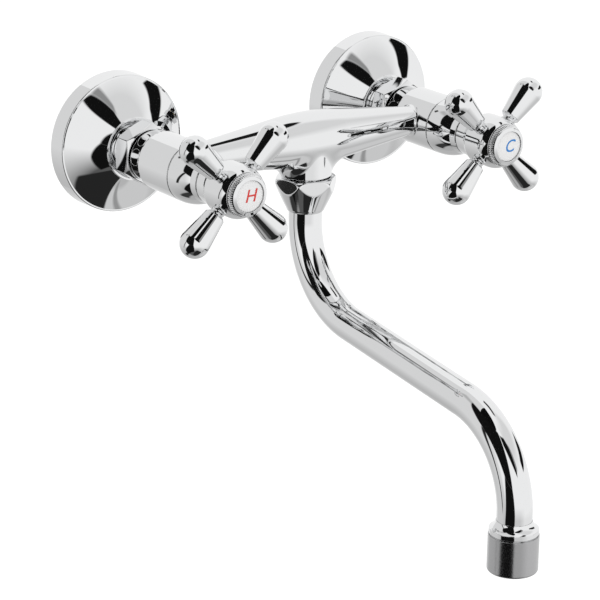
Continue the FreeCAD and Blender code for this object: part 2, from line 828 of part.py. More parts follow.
def make_spindle(side):
    """Spindle: driver on the turning disc, shaft with grooves for its rings and circlip, and a head."""
    piece = Piece(f"{side}_spindle", valve_frame(side))
    piece.turn(
        (0, out.driver),
        (sizes.ceramic_radius - sizes.seat_gap, out.driver),
        (sizes.ceramic_radius - sizes.seat_gap, out.driver_front),
        (sizes.spindle_radius, out.driver_front),
        (sizes.spindle_radius, out.circlip_front + sizes.circlip_length),
        (sizes.spindle_head, out.circlip_front + sizes.circlip_length),
        (sizes.spindle_head, out.spindle_end),
        (0, out.spindle_end),
    )
    outside = sizes.spindle_radius + sizes.overcut
    floor = sizes.spindle_radius - 2 * sizes.ring_section - sizes.running_gap
    half_width = sizes.ring_section + sizes.running_gap
    for station in o_ring_stations():
        piece.bore(*groove(floor, outside, station - half_width, half_width * 2))
    floor = sizes.spindle_radius - sizes.circlip_groove
    piece.bore(*groove(floor, outside, out.circlip, sizes.circlip_length))
    hole = out.spindle_end - sizes.screw_length
    piece.bore(
        (0, hole),
        (sizes.screw_radius + sizes.running_gap, hole),
        (sizes.screw_radius + sizes.running_gap, out.spindle_end + sizes.overcut),
        (0, out.spindle_end + sizes.overcut),
    )


def groove(floor, outside, start, width):
    """Half outline of a square groove, from its floor to outside the piece."""
    return (floor, start), (outside, start), (outside, start + width), (floor, start + width)


def make_ring_set(label, frame, outside, section, stations):
    """O-rings of one size as a group, each a separate ring that just clears the bore round it."""
    major = outside - section - sizes.running_gap / 2
    rings = []
    for station in stations:
        ring = document.addObject("Part::Torus", f"{label}_ring")
        ring.setExpression("Radius1", major.text)
        ring.setExpression("Radius2", section.text)
        ring.setExpression(".Placement.Base.z", station.text)
        rings.append(ring)
    group = document.addObject("Part::Compound", label)
    group.Label = label
    group.Links = rings
    frame.hold(group)


def make_circlip(side):
    """Open retaining ring in the spindle's groove, in front of the headwork."""
    piece = Piece(f"{side}_circlip", valve_frame(side))
    inner = sizes.spindle_radius - sizes.circlip_groove + sizes.running_gap
    piece.turn(
        (inner, out.circlip),
        (sizes.circlip_radius, out.circlip),
        (sizes.circlip_radius, out.circlip_front),
        (inner, out.circlip_front),
    )
    opening = piece.draw("XY_Plane", offset=(0, 0, out.circlip)).outline(
        (-inner / 2, 0),
        (inner / 2, 0),
        (inner / 2, sizes.circlip_radius + sizes.overcut),
        (-inner / 2, sizes.circlip_radius + sizes.overcut),
    )
    piece.through(opening)


# ---------------------------------------------------------------- bonnet and handle

def make_bonnet(side):
    """Domed cover screwed on the headwork's neck by an inner flange."""
    piece = Piece(f"{side}_bonnet", valve_frame(side))
    inner = sizes.barrel_radius - sizes.bonnet_wall
    flange_back = out.headwork_nose - sizes.bonnet_flange
    flange_bore = sizes.headwork_neck + sizes.thread_gap
    piece.turn(
        (inner, out.bonnet_back),
        (sizes.barrel_radius, out.bonnet_back, bend(sizes.bonnet_bend, -1)),
        (sizes.bonnet_shoulder, out.bonnet_shoulder),
        (sizes.bonnet_mouth, out.bonnet_front),
        (sizes.bonnet_mouth - sizes.bonnet_wall / 2, out.bonnet_front),
        (sizes.bonnet_shoulder - sizes.bonnet_wall, out.headwork_nose),
        (flange_bore, out.headwork_nose),
        (flange_bore, flange_back),
        (inner - sizes.bonnet_wall / 2, flange_back),
    )


def make_handle_hub(side):
    """Hub on the spindle's head, with a deep front recess for the screw and seats for the arms."""
    piece = Piece(f"{side}_handle_hub", valve_frame(side))
    bore = sizes.spindle_head + sizes.running_gap
    piece.turn(
        (sizes.hub_counterbore, out.hub_back),
        (sizes.hub_back, out.hub_back),
        (sizes.hub_neck, out.hub_flare),
        (sizes.hub_radius, out.hub_barrel),
        (sizes.hub_radius, out.hub_shoulder, bend(sizes.hub_nose_bend, -1)),
        (sizes.hub_nose, out.hub_front),
        (sizes.spigot_radius, out.hub_front),
        (sizes.spigot_radius, out.spigot_front),
        (sizes.hub_recess, out.spigot_front),
        (sizes.hub_recess, out.recess_floor),
        (sizes.screw_radius + sizes.seat_gap, out.recess_floor),
        (sizes.screw_radius + sizes.seat_gap, out.spindle_end + sizes.running_gap),
        (bore, out.spindle_end + sizes.running_gap),
        (bore, out.hub_floor),
        (sizes.hub_counterbore, out.hub_floor),
    )
    seat = sizes.hub_radius - sizes.arm_seat
    hole = sizes.stud_radius + sizes.running_gap
    wide = sizes.arm_collar + sizes.running_gap
    beyond = sizes.hub_radius + sizes.overcut
    first = FULL_TURN / SIZES["arm_count"] / 2
    stud_hole = piece.bore(
        (seat - sizes.stud_length - sizes.running_gap, 0),
        (seat - sizes.stud_length - sizes.running_gap, hole),
        (seat, hole),
        (seat, wide),
        (beyond, wide),
        (beyond, 0),
        axis="H_Axis", offset=(0, out.arms, 0), turn=first, turn_axis=(0, 1, 0),
    )
    piece.around(stud_hole, sizes.arm_count)


def make_handle_arm(side, number):
    """Teardrop arm: stud in the hub, narrow collar, and a flank that runs tangent into the tip's ball."""
    piece = Piece(f"{side}_handle_arm_{number}", arm_frame(side, number))
    seat = sizes.hub_radius - sizes.arm_seat
    root = seat + sizes.arm_collar_length
    tip = (sized(0.0), sizes.arm_reach + sizes.arm_tip)
    drawing = piece.draw()
    spots = (
        (0, seat - sizes.stud_length),
        (sizes.stud_radius, seat - sizes.stud_length),
        (sizes.stud_radius, seat),
        (sizes.arm_collar, seat),
        (sizes.arm_collar, root),
        (sizes.arm_root - sizes.arm_edge, root),
    )
    flank_start = (sizes.arm_root, root + sizes.arm_edge)
    flank_end = (sizes.arm_tip - sizes.running_gap, sizes.arm_reach - sizes.arm_edge)
    sides = [drawing.line(spot, following) for spot, following in zip(spots, spots[1:])]
    rounded, start, end = drawing.arc(spots[-1], flank_start, sizes.arm_edge, -1)
    flank = drawing.line(flank_start, flank_end)
    ball, ball_start, ball_end = drawing.arc(flank_end, tip, sizes.arm_tip, -1)
    centreline = drawing.line(tip, spots[0])
    for side_line, spot in zip(sides, spots):
        drawing.fix(side_line, 1, *spot)
    for first, second in zip(sides, sides[1:]):
        drawing.rule("Coincident", first, 2, second, 1)
    drawing.rule("Coincident", sides[-1], 2, rounded, start)
    drawing.fix(rounded, start, *spots[-1])
    drawing.rule("Coincident", rounded, end, flank, 1)
    drawing.fix(flank, 1, *flank_start)
    drawing.rule("Tangent", flank, 2, ball, ball_start)
    drawing.rule("PointOnObject", ball, 3, -2)
    drawing.tie("DistanceY", -1, 1, ball, 3, size=sizes.arm_reach)
    drawing.rule("Coincident", ball, ball_end, centreline, 1)
    drawing.rule("PointOnObject", centreline, 1, -2)
    drawing.rule("Coincident", centreline, 2, sides[0], 1)
    piece.feature("Revolution", drawing.sketch, ReferenceAxis=(drawing.sketch, ["V_Axis"]), Angle=FULL_TURN)


def make_handle_screw(side):
    """Cap screw that holds the hub on the spindle, with a hexagon socket."""
    piece = Piece(f"{side}_handle_screw", valve_frame(side))
    head_front = out.recess_floor + sizes.screw_head_length
    piece.turn(
        (0, out.recess_floor - sizes.screw_length),
        (sizes.screw_radius, out.recess_floor - sizes.screw_length),
        (sizes.screw_radius, out.recess_floor),
        (sizes.screw_head, out.recess_floor),
        (sizes.screw_head, head_front),
        (0, head_front),
    )
    socket = piece.draw("XY_Plane", offset=(0, 0, head_front)).hexagon(sizes.screw_head)
    piece.extrude(socket, sizes.screw_head_length / 2, kind="Pocket")


def make_index_ring(side):
    """Ring round the hub's spigot, knurled where it rounds over; its lip holds the index disc."""
    piece = Piece(f"{side}_index_ring", valve_frame(side))
    inner = sizes.spigot_radius + sizes.running_gap
    piece.turn(
        (inner, out.hub_front),
        (sizes.index_neck, out.hub_front),
        (sizes.index_neck, out.knurl_back),
        (sizes.index_radius, out.knurl_back),
        (sizes.index_radius, out.knurl_bend, bend(sizes.index_bend, -1)),
        (sizes.index_shoulder, out.index_shoulder),
        (sizes.index_opening, out.index_front),
        (sizes.index_opening, out.disc_shoulder),
        (inner, out.disc_shoulder),
    )
    outer = sizes.index_radius + sizes.knurl_depth
    flute = piece.draw("XY_Plane", offset=(0, 0, out.knurl_back - sizes.overcut)).outline(
        (0, sizes.index_radius - sizes.knurl_depth),
        (sizes.knurl_width * 2, outer),
        (-sizes.knurl_width * 2, outer),
    )
    depth = out.index_shoulder - out.knurl_back + sizes.overcut
    piece.around(piece.extrude(flute, depth, kind="Pocket", Reversed=True), sizes.knurl_count)


def make_index_disc(side):
    """White disc with a slightly crowned face, held by its flange a little below the ring's lip."""
    piece = Piece(f"{side}_index_disc", valve_frame(side))
    edge = out.index_front - sizes.disc_recess
    crown = (sizes.disc_radius * sizes.disc_radius / sizes.disc_rise + sizes.disc_rise) / 2
    piece.turn(
        (0, out.spigot_front),
        (sizes.disc_flange, out.spigot_front),
        (sizes.disc_flange, out.disc_shoulder),
        (sizes.disc_radius, out.disc_shoulder),
        (sizes.disc_radius, edge, bend(crown, -1)),
        (0, edge + sizes.disc_rise),
    )


# ---------------------------------------------------------------- spout joint

def make_spout_nut():
    """Tapered nut on the outlet nipple, with six wrench flats that run out on the cone."""
    piece = Piece("spout_nut", swivel_frame())
    bore = sizes.nipple_radius + sizes.thread_gap
    guide = sizes.tube_radius + sizes.running_gap
    edge = sizes.spout_nut_edge
    piece.turn(
        (bore, down.nut_top),
        (sizes.spout_nut_radius - edge, down.nut_top, bend(edge, -1)),
        (sizes.spout_nut_radius, down.nut_top + edge),
        (sizes.spout_nut_radius, down.nut_cone, bend(sizes.spout_nut_bend, -1)),
        (sizes.spout_nut_waist, down.nut_waist, bend(sizes.spout_nut_tail_bend, -1)),
        (sizes.spout_nut_mouth, down.nut_bottom),
        (guide, down.nut_bottom),
        (guide, down.slip_bottom),
        (bore, down.slip_bottom),
    )
    ring = piece.draw("XY_Plane", turn=-sizes.spout_nut_turn)
    ring.circle(sizes.spout_nut_radius + sizes.overcut)
    piece.through(ring.hexagon(sizes.spout_nut_flats))


def make_slip_ring():
    """Low-friction ring between the spout's collar and the shoulder in the nut."""
    piece = Piece("slip_ring", swivel_frame())
    piece.turn(
        (sizes.tube_radius + sizes.seat_gap, down.collar_bottom),
        (sizes.fitting_collar_radius, down.collar_bottom),
        (sizes.fitting_collar_radius, down.slip_bottom - sizes.running_gap),
        (sizes.tube_radius + sizes.seat_gap, down.slip_bottom - sizes.running_gap),
    )


def packing_stations():
    """Where the two O-rings lie on the top fitting's spigot."""
    first = down.spigot_top + sizes.packing_spacing / 2
    return first, first + sizes.packing_spacing


def make_spout_top_fitting():
    """Brass end of the spout: grooved spigot in the outlet, collar over the nut's shoulder, tube sleeve."""
    piece = Piece("spout_top_fitting", swivel_frame())
    sleeve = sizes.tube_radius - sizes.tube_wall - sizes.running_gap
    piece.turn(
        (sizes.fitting_bore, down.spigot_top),
        (sizes.fitting_spigot, down.spigot_top),
        (sizes.fitting_spigot, down.collar_top),
        (sizes.fitting_collar_radius, down.collar_top),
        (sizes.fitting_collar_radius, down.collar_bottom),
        (sleeve, down.collar_bottom),
        (sleeve, down.sleeve_end),
        (sizes.fitting_bore, down.sleeve_end),
    )
    outside = sizes.fitting_spigot + sizes.overcut
    floor = sizes.fitting_spigot - 2 * sizes.packing_section - sizes.running_gap
    half_width = sizes.packing_section + sizes.running_gap
    for station in packing_stations():
        piece.bore(*groove(floor, outside, station - half_width, half_width * 2))


def make_spout_tube():
    """Tube on one path: down, round to a gently falling run, and round again to straight down."""
    piece = Piece("spout_tube", swivel_frame())
    drawing = piece.draw("YZ_Plane")
    turned = math.radians(QUARTER_TURN - SIZES["spout_fall"])
    radius = SIZES["spout_bend"]
    inside, drop = radius * (1 - math.cos(turned)), radius * math.sin(turned)
    first = (inside, SIZES["spout_drop"] + drop)
    run = SIZES["spout_reach"] - 2 * inside
    second = (first[0] + run, first[1] + run * math.tan(math.radians(SIZES["spout_fall"])))
    third = (SIZES["spout_reach"], second[1] + drop)
    top = drawing.line((0, down.collar_bottom), (0, sizes.spout_drop))
    upper, upper_start, upper_end = drawing.arc((0, sizes.spout_drop), first, sizes.spout_bend, 1)
    long_run = drawing.line(first, second)
    lower, lower_start, lower_end = drawing.arc(second, third, sizes.spout_bend, -1)
    tail = drawing.line(third, (sizes.spout_reach, down.tube_end))
    drawing.fix(top, 1, 0, down.collar_bottom)
    drawing.fix(top, 2, 0, sizes.spout_drop)
    drawing.rule("Tangent", top, 2, upper, upper_start)
    drawing.rule("Tangent", upper, upper_end, long_run, 1)
    drawing.tie("Angle", long_run, size=sizes.spout_fall)
    drawing.rule("Tangent", long_run, 2, lower, lower_start)
    drawing.rule("Tangent", lower, lower_end, tail, 1)
    drawing.fix(tail, 2, sizes.spout_reach, down.tube_end)
    drawing.rule("Vertical", tail)
    ring = piece.draw("XY_Plane", offset=(0, 0, down.collar_bottom))
    ring.circle(sizes.tube_radius)
    ring.circle(sizes.tube_radius - sizes.tube_wall)
    edges = [f"Edge{number}" for number in range(1, 6)]
    piece.feature("AdditivePipe", ring.sketch, Spine=(drawing.sketch, edges))


# ---------------------------------------------------------------- outlet end

def make_spout_end():
    """Flared end fitting brazed over the tube, with the male thread for the aerator below a groove."""
    piece = Piece("spout_end", outlet_frame())
    over_tube = sizes.tube_radius + sizes.running_gap
    piece.turn(
        (over_tube, down.flare_top),
        (over_tube + sizes.running_gap * 4, down.flare_top, bend(sizes.end_flare_bend, 1)),
        (sizes.end_radius, down.flare_bottom),
        (sizes.end_radius, down.band_bottom),
        (sizes.groove_radius, down.band_bottom),
        (sizes.groove_radius, down.aerator_top),
        (sizes.end_thread, down.aerator_top),
        (sizes.end_thread, down.thread_end),
        (sizes.end_bore, down.thread_end),
        (sizes.end_bore, down.tube_end + sizes.running_gap),
        (over_tube, down.tube_end + sizes.running_gap),
    )


def make_aerator_housing():
    """Screwed cap that holds the aerator, with a rounded lower edge and an inner ledge."""
    piece = Piece("aerator_housing", outlet_frame())
    bore = sizes.end_thread + sizes.thread_gap
    piece.turn(
        (bore, down.aerator_top),
        (sizes.aerator_radius, down.aerator_top),
        (sizes.aerator_radius, down.aerator_bottom - sizes.aerator_edge, bend(sizes.aerator_edge, -1)),
        (sizes.aerator_radius - sizes.aerator_edge, down.aerator_bottom),
        (sizes.aerator_mouth, down.aerator_bottom),
        (sizes.aerator_mouth, down.ledge),
        (bore, down.ledge),
    )


def make_aerator_gasket():
    """Flat gasket under the thread's end."""
    piece = Piece("aerator_gasket", outlet_frame())
    piece.turn(
        (sizes.gasket_inner, down.thread_end),
        (sizes.end_thread, down.thread_end),
        (sizes.end_thread, down.gasket_end),
        (sizes.gasket_inner, down.gasket_end),
    )


def make_aerator_insert():
    """Cup that mixes air into the water, with a ring of holes in its floor."""
    piece = Piece("aerator_insert", outlet_frame())
    inner = sizes.end_thread - sizes.insert_wall
    floor = down.gasket_end + sizes.insert_floor
    piece.turn(
        (0, down.gasket_end),
        (sizes.end_thread, down.gasket_end),
        (sizes.end_thread, down.screen_top),
        (inner, down.screen_top),
        (inner, floor),
        (0, floor),
    )
    hole = piece.draw("XY_Plane", offset=(0, 0, down.gasket_end)).circle(
        sizes.insert_hole, 0, sizes.insert_hole_circle)
    piece.around(piece.through(hole), sizes.insert_hole_count)


def make_aerator_screen():
    """Fine plate on the housing's ledge, with two rings of holes."""
    piece = Piece("aerator_screen", outlet_frame())
    level = (0, 0, down.screen_top)
    piece.extrude(piece.draw("XY_Plane", offset=level).circle(sizes.end_thread), sizes.screen_length)
    piece.through(piece.draw("XY_Plane", offset=level).circle(sizes.screen_hole))
    for circle, share in ((sizes.screen_inner_circle, 1), (sizes.screen_outer_circle, 2)):
        hole = piece.draw("XY_Plane", offset=level).circle(sizes.screen_hole, 0, circle)
        piece.around(piece.through(hole), Size(6 * share, str(6 * share)))


# ---------------------------------------------------------------- assembly

def make_valve(side):
    """Everything that one side of the mixer has for itself."""
    make_escutcheon(side)
    make_wall_union(side)
    make_union_nut(side)
    make_union_washer(side)
    make_inlet_nipple(side)
    make_headwork(side)
    make_seat_seal(side)
    make_ceramic_disc(side, "fixed_disc", out.fixed_disc, sizes.ceramic_radius)
    make_ceramic_disc(side, "turning_disc", out.turning_disc, sizes.ceramic_radius - sizes.seat_gap)
    make_thrust_washer(side)
    make_spindle(side)
    make_ring_set(
        f"{side}_spindle_o_rings", valve_frame(side),
        sizes.spindle_radius, sizes.ring_section, o_ring_stations())
    make_circlip(side)
    make_bonnet(side)
    make_handle_hub(side)
    for number in range(1, SIZES["arm_count"] + 1):
        make_handle_arm(side, number)
    make_handle_screw(side)
    make_index_ring(side)
    make_index_disc(side)


def make_spout():
    """The swivel spout, the nut and packing of its joint, and the aerator."""
    make_spout_nut()
    make_slip_ring()
    make_spout_top_fitting()
    make_ring_set(
        "spout_o_rings", swivel_frame(),
        sizes.fitting_spigot, sizes.packing_section, packing_stations())
    make_spout_tube()
    make_spout_end()
    make_aerator_housing()
    make_aerator_gasket()
    make_aerator_insert()
    make_aerator_screen()


def kept_pieces():
    """The bodies and ring groups that are pieces of the faucet."""
    return [thing for thing in document.Objects if thing.TypeId in ("PartDesign::Body", "Part::Compound")]


def check_features():
    """Stops if an object failed, or if a cut took nothing away."""
    for thing in document.Objects:
        if "Invalid" in thing.State or "Error" in thing.State:
            raise RuntimeError(f"{thing.Name} failed: {thing.State}")
        if thing.TypeId in ("PartDesign::Groove", "PartDesign::Pocket"):
            if thing.Shape.Volume > thing.BaseFeature.Shape.Volume - 1e-4:
                raise RuntimeError(f"{thing.Name} of {thing.getParentGeoFeatureGroup().Label} cuts nothing")


def write_pieces():
    """Writes every piece, after a check that it is whole."""
    os.makedirs("parts", exist_ok=True)
    for thing in kept_pieces():
        shape = thing.Shape
        single = thing.TypeId == "PartDesign::Body"
        if shape.isNull() or not shape.isValid() or (single and len(shape.Solids) != 1):
            raise RuntimeError(f"{thing.Label} is not a sound solid")
        shape.exportStep(os.path.join("parts", f"{thing.Label}.step"))


make_body()
for valve_side in SIDES:
    make_valve(valve_side)
make_spout()
document.recompute()
check_features()
write_pieces()
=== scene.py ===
import json
import math

import bpy
import numpy as np
from mathutils import Matrix, Vector


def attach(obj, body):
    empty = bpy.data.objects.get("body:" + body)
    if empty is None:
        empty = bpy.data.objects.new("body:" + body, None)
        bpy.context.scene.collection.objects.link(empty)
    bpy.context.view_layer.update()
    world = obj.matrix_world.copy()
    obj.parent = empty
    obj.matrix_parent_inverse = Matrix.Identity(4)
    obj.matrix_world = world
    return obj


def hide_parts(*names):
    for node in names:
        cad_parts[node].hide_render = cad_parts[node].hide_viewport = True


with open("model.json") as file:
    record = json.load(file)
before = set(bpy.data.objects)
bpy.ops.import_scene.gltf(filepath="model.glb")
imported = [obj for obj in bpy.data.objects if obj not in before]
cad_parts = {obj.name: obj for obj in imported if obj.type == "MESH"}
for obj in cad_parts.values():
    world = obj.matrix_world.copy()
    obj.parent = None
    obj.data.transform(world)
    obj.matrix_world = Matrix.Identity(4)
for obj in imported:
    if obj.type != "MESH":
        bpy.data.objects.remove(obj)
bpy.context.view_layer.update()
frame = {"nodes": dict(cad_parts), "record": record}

MM = 0.001

# The camera, worked out from the photograph with the valves 150 mm apart. Lengths in metres.
CAMERA_AZIMUTH = math.radians(-36.41)
CAMERA_ELEVATION = math.radians(18.80)
CAMERA_ROLL = math.radians(0.85)
CAMERA_DISTANCE = 1.28757
CAMERA_TARGET = Vector((-0.00652, -0.060, -0.06930))
CAMERA_LENS = 160.40
CAMERA_SENSOR = 36.0

FLOOR_HEIGHT = -0.60
FLOOR_HALF = 7.0
FLOOR_PAINT = 0.90
FLOOR_GLOW = 0.25


def make_camera():
    """Looks at the faucet from the hot side, a little above it, as the photograph does."""
    flat = math.cos(CAMERA_ELEVATION)
    back = Vector((
        math.sin(CAMERA_AZIMUTH) * flat, -math.cos(CAMERA_AZIMUTH) * flat, math.sin(CAMERA_ELEVATION)))
    level = Vector((math.cos(CAMERA_AZIMUTH), math.sin(CAMERA_AZIMUTH), 0.0))
    upright = back.cross(level)
    right = level * math.cos(CAMERA_ROLL) + upright * math.sin(CAMERA_ROLL)
    up = upright * math.cos(CAMERA_ROLL) - level * math.sin(CAMERA_ROLL)
    turn = Matrix((right, up, back)).transposed().to_4x4()
    data = bpy.data.cameras.new("camera")
    data.sensor_width = CAMERA_SENSOR
    data.lens = CAMERA_LENS
    data.clip_end = 30.0
    camera = bpy.data.objects.new("camera", data)
    camera.matrix_world = Matrix.Translation(CAMERA_TARGET + back * CAMERA_DISTANCE) @ turn
    bpy.context.scene.collection.objects.link(camera)
    bpy.context.scene.camera = camera


class Nodes:
    """Short hands for building a node tree."""

    def __init__(self, tree):
        self.tree = tree
        tree.nodes.clear()

    def add(self, kind, **settings):
        node = self.tree.nodes.new(kind)
        for name, value in settings.items():
            setattr(node, name, value)
        return node

    def put(self, socket, value):
        """Links a socket, or sets it to a plain value."""
        if isinstance(value, bpy.types.NodeSocket):
            self.tree.links.new(value, socket)
        elif value is not None:
            socket.default_value = value

    def math(self, operation, *values, clamp=False):
        node = self.add("ShaderNodeMath", operation=operation, use_clamp=clamp)
        for socket, value in zip(node.inputs, values):
            self.put(socket, value)
        return node.outputs[0]

    def mix(self, share, first, second):
        """Between two colours."""
        node = self.add("ShaderNodeMix", data_type="RGBA")
        self.put(node.inputs["Factor"], share)
        for socket, value in zip(node.inputs[6:8], (first, second)):
            self.put(socket, value)
        return node.outputs[2]


def grey(level):
    return (level, level, level, 1.0)


# Soft boxes and dark flags round the set, as the polished plating mirrors them. Each is a convex shape in
# degrees: azimuth from the outward axis (positive toward the cold side) and height above the horizon,
# its corners in clockwise order, then its brightness and how soft its edges are.
CARDS = (
    # the hot side of the studio, darker toward its ground
    (((-200, 110), (-97, 110), (-97, -110), (-200, -110)), 0.76, 12.0),
    (((-200, -30), (-97, -30), (-97, -110), (-200, -110)), 0.46, 36.0),
    (((-142, 60), (-98, 60), (-98, 48), (-142, 48)), 0.50, 7.0),
    # the ceiling in front, and the ground in front of the wall and below
    (((-8, 66), (84, 66), (84, 30), (-8, 30)), 0.76, 16.0),
    (((-105, -28), (12, -28), (12, -110), (-105, -110)), 0.10, 34.0),
    (((0, -30), (200, -30), (200, -110), (0, -110)), 0.52, 24.0),
    (((30, -44), (110, -40), (110, -66), (30, -72)), 0.66, 5.0),
    (((46, -48), (53, -48), (60, -78), (48, -78)), 0.34, 4.0),
    (((-60, -72), (-44, -58), (-17, -37), (34, -50), (34, -110), (-60, -110)), 0.02, 2.5),
    (((-160, -50), (-80, -50), (-80, -62), (-160, -62)), 0.04, 3.0),
    # the black flag above the hot side, and the one next to it with its grey shoulder
    (((-97, 110), (-12, 110), (-22, 76), (-36, 62), (-60, 51), (-97, 42)), 0.004, 1.5),
    (((4, 50), (12, 44), (14, 24), (6, 22)), 0.30, 3.0),
    (((-33, 56), (-6, 56), (4, 47), (6, 22), (1, 17), (-6, 22), (-33, 45)), 0.006, 2.0),
    # the dark room round the camera
    (((-118, 58), (-36, 58), (-43, 2), (-76, 2), (-108, 18)), 0.006, 2.0),
    (((-76, 3), (-43, 3), (-37, -22), (-38, -48), (-112, -60), (-116, -40)), 0.006, 2.0),
    # narrow flags
    (((-106, 16), (-101, 16), (-119, -22), (-125, -22)), 0.02, 1.5),
    (((54, 20), (80, 20), (98, 13), (98, 3), (80, 6), (54, 11)), 0.006, 1.5),
    (((66, 70), (112, 70), (112, 62), (98, 60), (66, 65)), 0.01, 2.0),
    (((-152, 46), (-144, 46), (-144, 38), (-152, 38)), 0.05, 2.0),
)
STUDIO_LEVEL = 0.97
SKY_LEVEL = 0.95


def make_world():
    """White to the camera, plain and soft on diffuse surfaces, and a studio's cards in reflections."""
    world = bpy.data.worlds.new("studio")
    world.use_nodes = True
    bpy.context.scene.world = world
    kit = Nodes(world.node_tree)
    direction = kit.add("ShaderNodeSeparateXYZ")
    kit.put(direction.inputs[0], kit.add("ShaderNodeTexCoord").outputs["Generated"])
    x, y, z = direction.outputs
    degrees = 180.0 / math.pi
    azimuth = kit.math("MULTIPLY", kit.math("ARCTAN2", x, kit.math("MULTIPLY", y, -1.0)), degrees)
    height = kit.math("MULTIPLY", kit.math("ARCSINE", z), degrees)
    colour = grey(STUDIO_LEVEL)
    for corners, level, soft in CARDS:
        mask = None
        for (x1, y1), (x2, y2) in zip(corners, corners[1:] + corners[:1]):
            length = math.hypot(x2 - x1, y2 - y1)
            across, along = (y2 - y1) / length, -(x2 - x1) / length
            inward = -(across * x1 + along * y1)
            side = kit.math("MULTIPLY_ADD", azimuth, across / soft, inward / soft + 0.5)
            side = kit.math("MULTIPLY_ADD", height, along / soft, side, clamp=True)
            mask = side if mask is None else kit.math("MULTIPLY", mask, side)
        colour = kit.mix(mask, colour, grey(level))
    path = kit.add("ShaderNodeLightPath")
    plain = kit.mix(path.outputs["Is Camera Ray"], grey(SKY_LEVEL), grey(1.0))
    background = kit.add("ShaderNodeBackground")
    kit.put(background.inputs["Color"], kit.mix(path.outputs["Is Glossy Ray"], plain, colour))
    kit.put(kit.add("ShaderNodeOutputWorld").inputs["Surface"], background.outputs[0])


def make_floor():
    """Pale floor far below the faucet. It keeps the soft shadow, and mirrors see the studio past it."""
    mesh = bpy.data.meshes.new("floor")
    ways = ((-1, -1), (1, -1), (1, 1), (-1, 1))
    corners = [(across * FLOOR_HALF, out * FLOOR_HALF, FLOOR_HEIGHT) for across, out in ways]
    mesh.from_pydata(corners, [], [(0, 1, 2, 3)])
    floor = bpy.data.objects.new("floor", mesh)
    bpy.context.scene.collection.objects.link(floor)
    material = bpy.data.materials.new("floor")
    material.use_nodes = True
    kit = Nodes(material.node_tree)
    path = kit.add("ShaderNodeLightPath")
    paint = kit.add("ShaderNodeBsdfDiffuse")
    paint.inputs["Color"].default_value = grey(FLOOR_PAINT)
    glow = kit.add("ShaderNodeEmission")
    kit.put(glow.inputs["Strength"], kit.math("MULTIPLY", path.outputs["Is Camera Ray"], FLOOR_GLOW))
    lit = kit.add("ShaderNodeAddShader")
    kit.put(lit.inputs[0], paint.outputs[0])
    kit.put(lit.inputs[1], glow.outputs[0])
    clear = kit.add("ShaderNodeBsdfTransparent")
    shader = kit.add("ShaderNodeMixShader")
    kit.put(shader.inputs["Fac"], path.outputs["Is Glossy Ray"])
    kit.put(shader.inputs[1], lit.outputs[0])
    kit.put(shader.inputs[2], clear.outputs[0])
    kit.put(kit.add("ShaderNodeOutputMaterial").inputs["Surface"], shader.outputs[0])
    mesh.materials.append(material)


# ---------------------------------------------------------------- materials

CLOUD_SCALE = 40.0
SMEAR_SCALE = 120.0


def make_material(name, colour, rough=0.3, metal=0.0, **details):
    """A surface with its colour cloudiness, roughness cloudiness and fine relief, all by noise."""
    material = bpy.data.materials.new(name)
    material.use_nodes = True
    kit = Nodes(material.node_tree)
    shader = kit.add("ShaderNodeBsdfPrincipled")
    shader.inputs["Metallic"].default_value = metal
    place = kit.add("ShaderNodeTexCoord").outputs["Object"]

    def noise(scale, detail=3.0, stretch=None):
        where = place
        if stretch:
            mapping = kit.add("ShaderNodeMapping")
            mapping.inputs["Scale"].default_value = stretch
            kit.put(mapping.inputs["Vector"], place)
            where = mapping.outputs[0]
        node = kit.add("ShaderNodeTexNoise")
        node.inputs["Scale"].default_value = scale
        node.inputs["Detail"].default_value = detail
        kit.put(node.inputs["Vector"], where)
        return node.outputs["Fac"]

    cloud = noise(CLOUD_SCALE)
    spread = details.get("spread", 0.03)
    dark = tuple(part * (1.0 - spread) for part in colour) + (1.0,)
    light = tuple(min(part * (1.0 + spread), 1.0) for part in colour) + (1.0,)
    kit.put(shader.inputs["Base Color"], kit.mix(cloud, dark, light))
    smear = noise(SMEAR_SCALE, 4.0)
    swing = details.get("swing", 0.02)
    kit.put(shader.inputs["Roughness"], kit.math("MULTIPLY_ADD", smear, swing, rough - swing / 2))
    relief = details.get("relief", 0.0)
    if relief:
        bump = kit.add("ShaderNodeBump")
        bump.inputs["Strength"].default_value = relief
        bump.inputs["Distance"].default_value = details.get("relief_depth", 0.0002)
        bumps = noise(details.get("relief_scale", 60.0), 2.0, details.get("grain"))
        kit.put(bump.inputs["Height"], bumps)
        kit.put(shader.inputs["Normal"], bump.outputs[0])
    kit.put(kit.add("ShaderNodeOutputMaterial").inputs["Surface"], shader.outputs[0])
    return material


